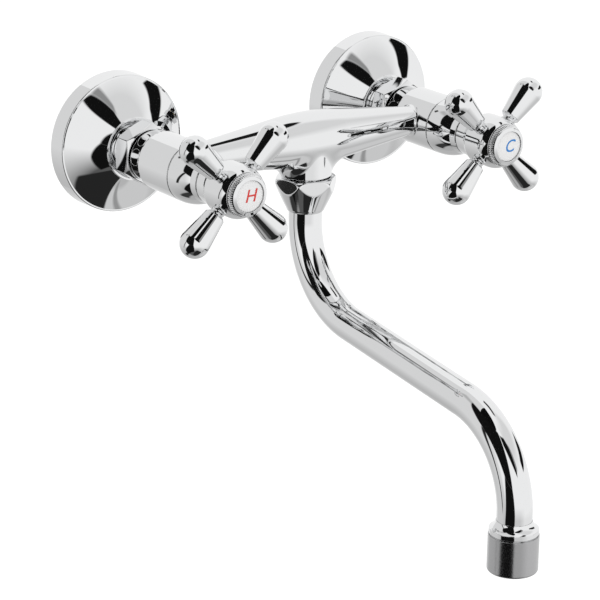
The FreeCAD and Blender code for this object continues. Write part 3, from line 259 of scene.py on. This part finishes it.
MATERIALS = {
    "chrome": make_material(
        "chrome", (0.84, 0.845, 0.85), rough=0.03, metal=1.0, spread=0.01, swing=0.02,
        relief=0.06, relief_scale=45.0, relief_depth=0.0004),
    "satin_chrome": make_material(
        "satin_chrome", (0.50, 0.50, 0.505), rough=0.20, metal=1.0, spread=0.03, swing=0.06,
        relief=0.15, relief_scale=900.0, relief_depth=0.0001, grain=(1.0, 1.0, 12.0)),
    "brass": make_material(
        "brass", (0.80, 0.62, 0.32), rough=0.22, metal=1.0, relief=0.1, relief_scale=800.0),
    "steel": make_material(
        "steel", (0.62, 0.62, 0.63), rough=0.24, metal=1.0, relief=0.1, relief_scale=900.0),
    "rubber": make_material("rubber", (0.03, 0.03, 0.03), rough=0.55, swing=0.1, spread=0.2),
    "fibre": make_material("fibre", (0.35, 0.10, 0.07), rough=0.7, swing=0.1, spread=0.15, relief=0.3),
    "ceramic": make_material("ceramic", (0.93, 0.92, 0.90), rough=0.12, spread=0.01),
    "nylon": make_material("nylon", (0.88, 0.88, 0.86), rough=0.40, swing=0.05, spread=0.02),
    "hot_index": make_material("hot_index", (0.90, 0.90, 0.90), rough=0.18, spread=0.01),
    "cold_index": make_material("cold_index", (0.90, 0.90, 0.90), rough=0.18, spread=0.01),
    "hot_sign": make_material("hot_sign", (0.72, 0.03, 0.02), rough=0.25, spread=0.05),
    "cold_sign": make_material("cold_sign", (0.01, 0.22, 0.62), rough=0.25, spread=0.05),
}


def dress_nodes():
    """Gives every node of the frame the material of its slot."""
    for part in frame["record"]["subparts"]:
        mesh = frame["nodes"][part["node"]].data
        mesh.materials.clear()
        slot = "chrome" if part["node"].endswith("wall_union") else part["material_slot"]
        mesh.materials.append(MATERIALS[slot])


# ---------------------------------------------------------------- shapes

SIDES = {"hot": -1, "cold": 1}
VALVE_OFFSET = 75.0
VALVE_HEIGHT = 7.5
SWIVEL_OUT = 54.4
OUTLET_OUT = 214.7
ARMS_OUT = 102.3


# Rounding of outlines: least turn in radians, most of an edge that a rounding takes, degrees per step.
LEAST_TURN = 0.02
MOST_TRIM = 0.45
ROUNDING_STEP = 15
ARC_STEP = 3


class Edge:
    """One side of an outline: straight, or an arc under a half circle."""

    def __init__(self, start, end, bend):
        self.start, self.end = start, end
        chord = math.hypot(end[0] - start[0], end[1] - start[1])
        self.radius, self.side = bend or (0.0, 0)
        if self.side:
            inward = self.side * math.sqrt(self.radius ** 2 - (chord / 2) ** 2) / chord
            self.centre = (
                (start[0] + end[0]) / 2 + inward * (end[1] - start[1]),
                (start[1] + end[1]) / 2 - inward * (end[0] - start[0]))
            self.first = math.atan2(start[1] - self.centre[1], start[0] - self.centre[0])
            self.swing = -self.side * 2 * math.asin(chord / 2 / self.radius)
            self.length = abs(self.swing) * self.radius
        else:
            self.length = chord

    def at(self, share):
        """Point and direction at a share of the way."""
        if self.side:
            angle = self.first + self.swing * share
            turn = math.copysign(1.0, self.swing)
            return (
                (self.centre[0] + self.radius * math.cos(angle),
                 self.centre[1] + self.radius * math.sin(angle)),
                (-math.sin(angle) * turn, math.cos(angle) * turn))
        way = ((self.end[0] - self.start[0]) / self.length, (self.end[1] - self.start[1]) / self.length)
        spot = (self.start[0] + way[0] * self.length * share, self.start[1] + way[1] * self.length * share)
        return spot, way


def outline(*corners, closed=True):
    """Points (radius, distance) and normals of a half outline, its corners rounded.

    A corner is (radius, distance, rounding) or (radius, distance, rounding, (bend, side)) before an arc.
    """
    edges = [
        Edge(corner[:2], following[:2], corner[3] if len(corner) > 3 else None)
        for corner, following in zip(corners, corners[1:] + corners[:1])]
    if not closed:
        edges = edges[:-1]
    trims = []
    for number, corner in enumerate(corners):
        if not closed and number in (0, len(corners) - 1):
            trims.append((0.0, 0.0))
            continue
        before, after = edges[number - 1], edges[number]
        (_, first), (_, second) = before.at(1.0), after.at(0.0)
        turn = abs(math.atan2(
            first[0] * second[1] - first[1] * second[0], first[0] * second[0] + first[1] * second[1]))
        trim = min(corner[2] * math.tan(turn / 2), MOST_TRIM * before.length, MOST_TRIM * after.length)
        trim = trim if turn > LEAST_TURN else 0.0
        trims.append((trim, turn))
    points = []
    for number in range(len(corners)):
        trim, turn = trims[number]
        if trim:
            spot_a, way_a = edges[number - 1].at(1.0 - trim / edges[number - 1].length)
            spot_b, way_b = edges[number].at(trim / edges[number].length)
            reach = trim * 4 / 3 * math.tan(turn / 4) / math.tan(turn / 2)
            hands = (
                spot_a, (spot_a[0] + way_a[0] * reach, spot_a[1] + way_a[1] * reach),
                (spot_b[0] - way_b[0] * reach, spot_b[1] - way_b[1] * reach), spot_b)
            steps = max(3, int(math.degrees(turn) / ROUNDING_STEP))
            for step in range(steps + 1):
                points.append(bezier(hands, step / steps))
        elif not closed and number == len(corners) - 1:
            points.append(edges[-1].at(1.0))
            break
        else:
            points.append(edges[number].at(0.0))
        if edges[number].side:
            edge = edges[number]
            start = trim / edge.length
            end = 1.0 - trims[(number + 1) % len(corners)][0] / edge.length
            steps = max(6, int(math.degrees(abs(edge.swing)) / ARC_STEP), int(edge.length / 1.5))
            points += [edge.at(start + (end - start) * step / steps) for step in range(1, steps)]
    area = sum(
        a[0][0] * b[0][1] - b[0][0] * a[0][1] for a, b in zip(points, points[1:] + points[:1]))
    hand = 1.0 if area > 0 else -1.0
    return [(spot[0], spot[1], hand * way[1], -hand * way[0]) for spot, way in points]


def bezier(hands, share):
    """Point and direction on a cubic curve."""
    rest = 1.0 - share
    weights = (rest ** 3, 3 * rest ** 2 * share, 3 * rest * share ** 2, share ** 3)
    slopes = (-rest ** 2, rest ** 2 - 2 * rest * share, 2 * rest * share - share ** 2, share ** 2)
    spot = tuple(sum(weight * hand[axis] for weight, hand in zip(weights, hands)) for axis in (0, 1))
    way = tuple(sum(slope * hand[axis] for slope, hand in zip(slopes, hands)) for axis in (0, 1))
    length = math.hypot(*way)
    return spot, (way[0] / length, way[1] / length)


def valve(side):
    """Origin and the three directions of a valve: across, up, and out of the wall along its axis."""
    return (
        np.array((SIDES[side] * VALVE_OFFSET, 0.0, VALVE_HEIGHT)),
        np.array(((1.0, 0.0, 0.0), (0.0, 0.0, 1.0), (0.0, -1.0, 0.0))))


def arm(side, number):
    """The same for an arm of a handle, its axis along the arm."""
    angle = math.radians(90.0 - 90.0 * (number - 0.5))
    along = (math.cos(angle), 0.0, math.sin(angle))
    return (
        np.array((SIDES[side] * VALVE_OFFSET, -ARMS_OUT, VALVE_HEIGHT)),
        np.array(((-along[2], 0.0, along[0]), (0.0, -1.0, 0.0), along)))


def hanging(out):
    """The same for what hangs at a distance out from the wall, its axis down."""
    return (
        np.array((0.0, -out, VALVE_HEIGHT)),
        np.array(((1.0, 0.0, 0.0), (0.0, -1.0, 0.0), (0.0, 0.0, -1.0))))


def finish_piece(name, points, faces, normals, slot, body, nodes, exact=True):
    """A mesh object from points in millimetres, dressed, riding its body and standing for its nodes."""
    mesh = bpy.data.meshes.new(name)
    first = np.array([face[:3] for face in faces])
    corners = points[first]
    facing = np.cross(corners[:, 1] - corners[:, 0], corners[:, 2] - corners[:, 0])
    if (facing * normals[first].sum(axis=1)).sum() < 0:
        faces = [face[::-1] for face in faces]
    mesh.from_pydata((points * MM).tolist(), [], faces)
    mesh.polygons.foreach_set("use_smooth", [True] * len(mesh.polygons))
    if exact:
        mesh.normals_split_custom_set_from_vertices(normals.tolist())
    mesh.materials.append(MATERIALS[slot])
    piece = bpy.data.objects.new(name, mesh)
    bpy.context.scene.collection.objects.link(piece)
    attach(piece, body)
    if nodes:
        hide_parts(*nodes)
    return piece


def lathe(name, frame_of, points, slot, body, nodes=(), closed=True, segments=144, shape=None):
    """A turned piece. shape(angle, radius, distance) may change the radius, for flats and teeth."""
    origin, (across, upward, along) = frame_of
    radius, distance, out_radial, out_along = (np.array(part)[:, None] for part in zip(*points))
    angle = np.arange(segments)[None, :] * (2 * math.pi / segments)
    if shape:
        radius = shape(angle, radius, distance)
    radius = radius + 0 * angle
    spread = np.cos(angle)[..., None] * across + np.sin(angle)[..., None] * upward
    rows = origin + radius[..., None] * spread + distance[..., None] * along
    normals = out_radial[..., None] * spread + out_along[..., None] * along
    count = len(points)
    index = np.arange(count * segments).reshape(count, segments)
    poles = np.where(radius.max(axis=1) < 1e-6)[0]
    for pole in poles:
        index[pole, :] = index[pole, 0]
        normals[pole] = along * math.copysign(1.0, out_along[pole, 0])
    lower = index if closed else index[:-1]
    upper = np.roll(index, -1, axis=0) if closed else index[1:]
    quads = np.stack((lower, np.roll(lower, -1, 1), np.roll(upper, -1, 1), upper), axis=-1).reshape(-1, 4)
    used = np.unique(quads)
    place = np.zeros(count * segments, int)
    place[used] = np.arange(len(used))
    faces = []
    for quad in place[quads].tolist():
        face = [spot for number, spot in enumerate(quad) if spot != quad[number - 1]]
        if len(face) > 2:
            faces.append(face)
    points, normals = rows.reshape(-1, 3)[used], normals.reshape(-1, 3)[used]
    return finish_piece(name, points, faces, normals, slot, body, nodes, exact=shape is None)


def soft_min(first, second, blend):
    """The smaller of two, with the crease between them rounded over."""
    share = np.clip(0.5 + 0.5 * (second - first) / blend, 0.0, 1.0)
    return second + (first - second) * share - blend * share * (1.0 - share)


def hexagon(turn, apothem, blend):
    """Shape of a hexagon's flats, for lathe."""
    def shape(angle, radius, distance):
        offset = np.mod(angle - turn + math.pi / 6, math.pi / 3) - math.pi / 6
        limit = apothem / np.cos(offset)
        return np.where(radius < apothem - 2 * blend, radius + 0 * angle, soft_min(radius, limit, blend))
    return shape


def make_escutcheon(side):
    """Bell-shaped wall cover with a rolled rim and the lip round its neck."""
    lathe(f"{side}_cover", valve(side), outline(
        (33.5, 0.0, 0.3), (33.1, 9.6, 1.1), (32.1, 9.6, 0.05, (60.0, 1)), (15.2, 20.3, 0.12),
        (15.2, 21.5, 0.25), (13.8, 21.5, 0.25), (13.8, 20.3, 0.1), (11.6, 20.3, 0.1), (11.6, 14.5, 0.1),
        (13.35, 14.5, 0.1), (13.35, 18.5, 0.3, (60.0, -1)), (30.3, 7.8, 0.3), (31.7, 0.0, 0.2)),
        "chrome", "mixer", [f"{side}_escutcheon"], segments=240)


def make_union_nut(side, turn):
    """Hexagon nut, chamfered at both ends, with a fine step round its faces."""
    flat = 13.3
    lathe(f"{side}_wall_nut", valve(side), dense(outline(
        (11.6, 24.6, 0.2), (flat - 0.3, 24.6, 0.15), (15.6, 26.0, 0.05), (15.6, 33.2, 0.05),
        (flat - 0.3, 34.6, 0.15), (8.6, 34.6, 0.2)), 0.3),
        "chrome", "mixer", [f"{side}_union_nut"], segments=480, shape=hexagon(math.radians(turn), flat, 0.22))


def dense(points, step):
    """More points along the straight stretches of an outline."""
    made = []
    for first, second in zip(points, points[1:] + points[:1]):
        length = math.hypot(second[0] - first[0], second[1] - first[1])
        count = max(1, int(length / step))
        for number in range(count):
            share = number / count
            made.append(tuple(a + (b - a) * share for a, b in zip(first, second)))
    return made


def make_bonnet(side):
    """Domed cover in front of the barrel."""
    lathe(f"{side}_bonnet_cover", valve(side), outline(
        (12.3, 69.3, 0.1), (14.0, 69.3, 0.3, (30.0, -1)), (10.75, 83.0, 0.5), (10.2, 86.5, 0.35),
        (9.35, 86.5, 0.1), (9.05, 80.0, 0.1), (11.4, 76.0, 0.1)),
        "chrome", "mixer", [f"{side}_bonnet"])


def make_hub(side):
    """Handle hub: neck, flare, barrel that carries the arms, and a rounded nose with a bead at its front."""
    lathe(f"{side}_hub", valve(side), outline(
        (7.6, 87.1, 0.1), (10.3, 87.1, 0.35), (10.8, 93.5, 0.6), (12.4, 96.5, 1.5),
        (12.4, 105.5, 0.6, (9.4, -1)), (10.4, 111.3, 0.3), (8.0, 111.3, 0.1), (8.0, 112.9, 0.1),
        (6.4, 112.9, 0.1), (6.4, 99.0, 0.1), (2.3, 99.0, 0.1), (2.3, 97.3, 0.1), (4.05, 97.3, 0.1),
        (4.05, 89.0, 0.1), (7.6, 89.0, 0.1)),
        "chrome", f"{side}_handle", [f"{side}_handle_hub"])


def make_arm(side, number):
    """Teardrop arm with a turned collar where it meets the hub."""
    ball, reach, root, edge = 7.0, 30.0, 4.8, 14.8
    # where a flank from the root meets the ball at a tangent
    run = reach - edge
    lean = math.asin(ball / math.hypot(root, run)) - math.atan2(root, run)
    touch = (ball * math.cos(lean), reach - ball * math.sin(lean))
    points = outline(
        (0.0, 8.0, 0.0), (2.5, 8.0, 0.1), (3.3, 11.0, 0.2), (3.3, 12.5, 0.3), (2.9, 13.2, 0.3),
        (3.9, 14.0, 0.3), (root, edge, 0.5), touch + (0.0, (ball, -1)), (0.0, reach + ball, 0.0),
        closed=False)
    lathe(f"{side}_arm_{number}", arm(side, number), points, "chrome", f"{side}_handle",
          [f"{side}_handle_arm_{number}"], closed=False, segments=96)


def make_index(side):
    """Knurled ring, the white disc under its lip, and a generic letter on the disc."""
    def knurl(angle, radius, distance):
        tooth = 0.5 + 0.5 * np.cos(angle * 60)
        front = np.clip((114.1 - distance) / 0.8, 0.0, 1.0) * np.clip((distance - 111.75) / 0.2, 0.0, 1.0)
        outer = np.clip((radius - 8.9) / 0.4, 0.0, 1.0)
        return radius - 0.42 * tooth ** 2 * front * outer

    lathe(f"{side}_knurled_ring", valve(side), dense(outline(
        (8.05, 111.3, 0.05), (9.5, 111.3, 0.1), (9.5, 111.7, 0.05), (10.2, 111.7, 0.12),
        (10.2, 112.3, 0.1, (4.0, -1)), (9.0, 114.4, 0.35), (7.35, 115.0, 0.12), (7.35, 113.8, 0.1),
        (8.05, 113.8, 0.05)), 0.25),
        "chrome", f"{side}_handle", [f"{side}_index_ring"], segments=720, shape=knurl)
    lathe(f"{side}_disc", valve(side), outline(
        (0.0, 112.9, 0.0), (7.9, 112.9, 0.05), (7.9, 113.8, 0.05), (7.2, 113.8, 0.05),
        (7.2, 114.3, 0.15, (52.1, -1)), (0.0, 114.8, 0.0), closed=False),
        f"{side}_index", f"{side}_handle", [f"{side}_index_disc"], closed=False)
    letter = bpy.data.curves.new(f"{side}_letter", "FONT")
    letter.body = side[0].upper()
    letter.size = 8.4 * MM
    letter.shear = 0.25
    letter.align_x = "CENTER"
    letter.align_y = "CENTER"
    letter.extrude = 0.15 * MM
    letter.materials.append(MATERIALS[f"{side}_sign"])
    piece = bpy.data.objects.new(f"{side}_letter", letter)
    bpy.context.scene.collection.objects.link(piece)
    piece.location = (SIDES[side] * VALVE_OFFSET * MM, -114.72 * MM, VALVE_HEIGHT * MM)
    piece.rotation_euler = (math.pi / 2, 0.0, 0.0)
    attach(piece, f"{side}_handle")


def make_spout_nut():
    """Tapered nut: rounded top, six flats that run out as petals on the cone, and a turned tail."""
    lathe("swivel_nut", hanging(SWIVEL_OUT), dense(outline(
        (10.4, 16.5, 0.1), (12.5, 16.5, 0.05, (2.8, -1)), (15.3, 19.3, 0.05), (15.3, 19.5, 0.6, (160.0, -1)),
        (9.3, 32.6, 0.5, (2.0, -1)), (8.4, 33.9, 0.15), (8.15, 33.9, 0.1), (8.15, 26.0, 0.1),
        (10.4, 26.0, 0.1)),
        0.3), "chrome", "mixer", ["spout_nut"], segments=480,
        shape=hexagon(math.radians(-11.4), 13.5, 0.25))


def make_spout_tube():
    """Bent tube, swept along its centre line of two straight ends, two bends and the falling run."""
    tilt = math.radians(7.4)
    radius, reach, top, straight, low = 43.2, 160.3, 24.95, 38.3, 142.0
    turned = math.pi / 2 - tilt
    inside, drop = radius * (1 - math.cos(turned)), radius * math.sin(turned)
    run = reach - 2 * inside
    line = [((0.0, top + (straight - top) * n / 4), (0.0, 1.0)) for n in range(4)]
    for n in range(61):
        angle = turned * n / 60
        line.append((
            (radius * (1 - math.cos(angle)), straight + radius * math.sin(angle)),
            (math.sin(angle), math.cos(angle))))
    begin = (inside, straight + drop)
    end = (begin[0] + run, begin[1] + run * math.tan(tilt))
    for n in range(1, 24):
        share = n / 24
        line.append(((begin[0] + (end[0] - begin[0]) * share, begin[1] + (end[1] - begin[1]) * share),
                     (math.cos(tilt), math.sin(tilt))))
    for n in range(61):
        angle = turned * (1 - n / 60)
        line.append((
            (reach - radius * (1 - math.cos(angle)), end[1] + drop - radius * math.sin(angle)),
            (math.sin(angle), math.cos(angle))))
    line += [((reach, end[1] + drop + (low - end[1] - drop) * n / 4), (0.0, 1.0)) for n in range(1, 5)]
    segments = 128
    rows, normals = [], []
    for tube, hand in ((8.1, 1.0), (7.1, -1.0)):
        path = line if hand > 0 else line[::-1]
        for (out, down), (way_out, way_down) in path:
            for n in range(segments):
                angle = 2 * math.pi * n / segments
                side = np.array((math.cos(angle), -way_down * math.sin(angle), way_out * math.sin(angle)))
                centre = np.array((0.0, -SWIVEL_OUT - out, VALVE_HEIGHT - down))
                rows.append(centre + side * tube)
                normals.append(side * hand)
    count = 2 * len(line)
    faces = []
    for row in range(count):
        for n in range(segments):
            after, beside = (row + 1) % count, (n + 1) % segments
            faces.append([row * segments + n, row * segments + beside,
                          after * segments + beside, after * segments + n])
    finish_piece("swivel_tube", np.array(rows), faces, np.array(normals), "chrome", "spout", ["spout_tube"])


def make_outlet():
    """Flared end of the spout with its band and groove, and the satin aerator cap."""
    lathe("outlet_flare", hanging(OUTLET_OUT), outline(
        (8.15, 137.6, 0.05), (8.35, 137.6, 0.1, (4.5, 1)), (11.3, 141.5, 0.25), (11.3, 143.7, 0.25),
        (10.7, 143.7, 0.05), (10.7, 144.3, 0.05), (10.3, 144.3, 0.05), (10.3, 149.3, 0.1), (7.0, 149.3, 0.1),
        (7.0, 142.05, 0.1), (8.15, 142.05, 0.05)),
        "chrome", "spout", ["spout_end"])
    lathe("aerator_cap", hanging(OUTLET_OUT), outline(
        (10.4, 144.3, 0.1), (11.6, 144.3, 0.3), (11.6, 161.9, 1.3), (9.2, 161.9, 0.3), (9.2, 157.8, 0.1),
        (10.4, 157.8, 0.1)),
        "satin_chrome", "spout", ["aerator_housing"])


# ---------------------------------------------------------------- body casting

# Body casting, in millimetres: barrels, cross member, outlet boss and nipple, and the grid it is cut on.
BARREL_FRONT = 69.0
BARREL_BACK = 35.6
BARREL_SHOULDER = 45.0
BARREL_BEND = 32.0
BEND_CENTRE_RADIUS = 44.287
BEND_CENTRE_OUT = 34.669
CROSS_RADIUS = 12.15
CROSS_MIDDLE = 18.0
CROSS_BEND = 151.0
CROSS_RISE = 1.4
CROSS_LOSS = 5.65
CROSS_RUN = 47.4
CROSS_END = 68.0
BOSS_RADIUS = 12.3
BOSS_FOOT = 16.0
NIPPLE_FOOT = 22.9
GRID_STEP = 0.6


def round_union(first, second, radius):
    """Nearest of two solids, joined by a fillet of a radius."""
    inner = np.hypot(np.maximum(radius - first, 0.0), np.maximum(radius - second, 0.0))
    return np.maximum(radius, np.minimum(first, second)) - inner


def round_cut(first, second, radius):
    """What two solids share, its edge rounded."""
    outer = np.hypot(np.maximum(first + radius, 0.0), np.maximum(second + radius, 0.0))
    return np.minimum(-radius, np.maximum(first, second)) + outer


def body_depth(x, y, z):
    """Signed distance to the body casting, negative inside. x across, y out from the wall, z up."""
    reach = np.hypot(np.abs(x) - VALVE_OFFSET, z)
    along = np.minimum(y, BARREL_SHOULDER) - BEND_CENTRE_OUT
    shoulder = BEND_CENTRE_RADIUS - np.sqrt(np.maximum(BARREL_BEND ** 2 - along ** 2, 1.0))
    half_length = (BARREL_FRONT - BARREL_BACK) / 2
    ends = np.abs(y - BARREL_BACK - half_length) - half_length
    barrel = round_cut(reach - shoulder, ends, 0.35)
    lift = np.abs(x)
    taper = CROSS_RADIUS - (lift - CROSS_MIDDLE) * CROSS_LOSS / CROSS_RUN
    crown = (CROSS_RADIUS + np.sqrt(CROSS_BEND ** 2 - np.minimum(lift, CROSS_MIDDLE) ** 2)
             - math.sqrt(CROSS_BEND ** 2 - CROSS_MIDDLE ** 2))
    spread = np.hypot(y - SWIVEL_OUT, z - CROSS_RISE)
    cross = np.maximum(spread - np.where(lift > CROSS_MIDDLE, taper, crown), lift - CROSS_END)
    around = np.hypot(x, y - SWIVEL_OUT)
    boss = round_cut(around - BOSS_RADIUS, -BOSS_FOOT - z, 0.3)
    boss = np.maximum(boss, z - 2.0)
    nipple = np.maximum(np.maximum(around - 10.3, -NIPPLE_FOOT - z), z - 2.0)
    sideways = (x / np.maximum(around, 1.0)) ** 2
    cast = round_union(cross, boss, 0.5 + 8.0 * np.clip(sideways, 0.0, 1.0))
    cast = np.minimum(cast, nipple)
    cast = round_union(cast, barrel, 1.3)
    seat = np.maximum(reach - 11.2, 61.0 - y)
    back = np.maximum(reach - 8.3, y - 42.0)
    outlet = np.maximum(around - 7.65, z + 12.0)
    return np.maximum(cast, -np.minimum(np.minimum(seat, back), outlet))


def steps_between(low, high, step, fine_at, fine=0.12, near=0.7):
    """Grid lines, closer together near some places."""
    lines, spot = [], low
    while spot < high:
        lines.append(spot)
        spot += fine if min((abs(spot - place) for place in fine_at), default=99.0) < near else step
    return np.array(lines + [high])


def make_body():
    """One casting with soft blends: two barrels, the swollen cross member and the outlet boss."""
    across = steps_between(-90.0, 90.0, GRID_STEP, ())
    out = steps_between(34.9, 69.7, GRID_STEP, (BARREL_BACK, BARREL_FRONT))
    rise = steps_between(-23.6, 15.4, GRID_STEP, (-NIPPLE_FOOT, -BOSS_FOOT))
    values = body_depth(*np.meshgrid(across, out, rise, indexing="ij"))
    inside = values < 0
    cells = tuple(size - 1 for size in values.shape)
    total = np.zeros(cells + (3,))
    count = np.zeros(cells)
    grid = np.stack(np.meshgrid(across, out, rise, indexing="ij"), axis=-1)

    def corner(array, i, j, k):
        return array[i:i + cells[0], j:j + cells[1], k:k + cells[2]]

    spots = [(i, j, k) for i in (0, 1) for j in (0, 1) for k in (0, 1)]
    for first in spots:
        for axis in range(3):
            if first[axis]:
                continue
            second = tuple(part + (number == axis) for number, part in enumerate(first))
            near, far = corner(values, *first), corner(values, *second)
            crossed = (near < 0) != (far < 0)
            share = np.where(crossed, near / np.where(crossed, near - far, 1.0), 0.0)
            begin = corner(grid, *first)
            spot = begin + (corner(grid, *second) - begin) * share[..., None]
            total += np.where(crossed[..., None], spot, 0.0)
            count += crossed
    mixed = count > 0
    number = np.full(cells, -1)
    number[mixed] = np.arange(mixed.sum())
    points = total[mixed] / count[mixed][:, None]
    for _ in range(3):
        depth, slope = depth_and_slope(points)
        points = points - np.clip(depth / (slope ** 2).sum(axis=1), -0.3, 0.3)[:, None] * slope
    slope = depth_and_slope(points)[1]
    normals = slope / np.linalg.norm(slope, axis=1)[:, None]
    faces = []
    for axis in range(3):
        one, two = [other for other in range(3) if other != axis]
        ahead = [slice(None)] * 3
        behind = [slice(None)] * 3
        ahead[axis], behind[axis] = slice(1, None), slice(None, -1)
        changed = inside[tuple(ahead)] != inside[tuple(behind)]
        where = np.argwhere(changed)
        where = where[(where[:, one] > 0) & (where[:, two] > 0)]
        ring = []
        for step_one, step_two in ((-1, -1), (0, -1), (0, 0), (-1, 0)):
            cell = where.copy()
            cell[:, one] += step_one
            cell[:, two] += step_two
            ring.append(number[tuple(cell.T)])
        ring = np.stack(ring, axis=1)
        edge_a = points[ring[:, 1]] - points[ring[:, 0]]
        edge_b = points[ring[:, 2]] - points[ring[:, 0]]
        facing = np.einsum("ij,ij->i", np.cross(edge_a, edge_b), normals[ring].mean(axis=1))
        ring[facing > 0] = ring[facing > 0][:, ::-1]
        faces += ring.tolist()
    mirror = np.array((1.0, -1.0, 1.0))
    flipped = points * mirror + np.array((0.0, 0.0, VALVE_HEIGHT))
    finish_piece("body_casting", flipped, faces, normals * mirror, "chrome", "mixer", ["body"])


def depth_and_slope(points):
    """Signed distance to the casting, and which way it grows."""
    step = 0.01
    columns = points.T
    slope = []
    for axis in range(3):
        ahead, behind = columns.copy(), columns.copy()
        ahead[axis] += step
        behind[axis] -= step
        slope.append((body_depth(*ahead) - body_depth(*behind)) / (2 * step))
    return body_depth(*columns), np.stack(slope, axis=1)


make_camera()
make_world()
make_floor()
dress_nodes()
make_body()
for valve_side, nut_turn in (("hot", -4.0), ("cold", -9.0)):
    make_escutcheon(valve_side)
    make_union_nut(valve_side, nut_turn)
    make_bonnet(valve_side)
    make_hub(valve_side)
    for arm_number in range(1, 5):
        make_arm(valve_side, arm_number)
    make_index(valve_side)
make_spout_nut()
make_spout_tube()
make_outlet()
bpy.context.scene.view_settings.view_transform = "Standard"
